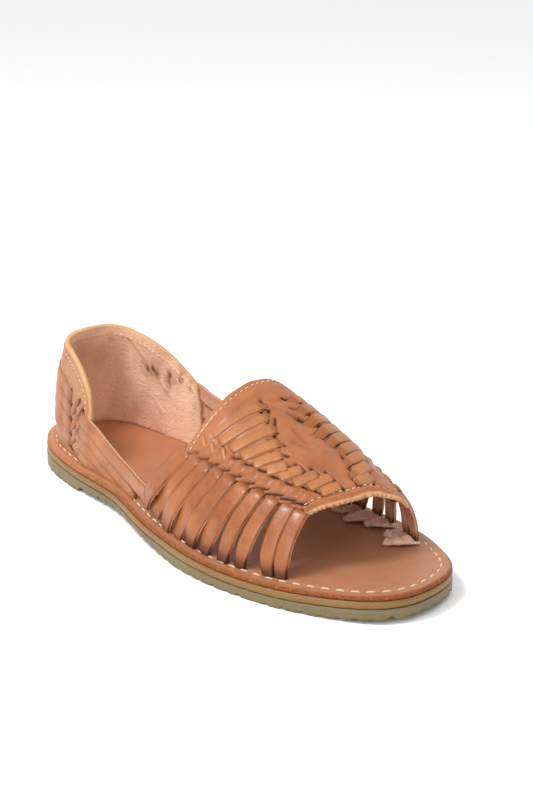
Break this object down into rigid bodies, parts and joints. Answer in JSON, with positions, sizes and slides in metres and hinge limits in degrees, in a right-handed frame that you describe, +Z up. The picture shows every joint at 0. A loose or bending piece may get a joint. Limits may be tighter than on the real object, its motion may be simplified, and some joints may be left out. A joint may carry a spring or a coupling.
{
  "type": "woven sandal",
  "caption": "Open-toe flat sandal with an interwoven strap vamp, woven side straps, a closed heel counter and a layered flat sole",
  "frame": {"origin": "on the floor under the middle of the heel, at the centre of the mount heel_rest", "axes": "+X points to the toe, +Y to the inner side of the foot, +Z up; the shoe stands on the plane Z = 0"},
  "size_m": [0.248, 0.0942, 0.0685],
  "materials": {
    "upper_leather": "glossy tan vegetable-tanned straps with a pale raw edge",
    "insole_leather": "satin pinkish-brown leather with a reddish fibrous edge",
    "midsole": "translucent ochre sheet, satin",
    "outsole_rubber": "grey-green rubber with a satin edge"
  },
  "bodies": {
    "root": {"upper": "upper_leather", "insole": "insole_leather", "midsole": "midsole", "outsole": "outsole_rubber"}
  },
  "joints": []
}
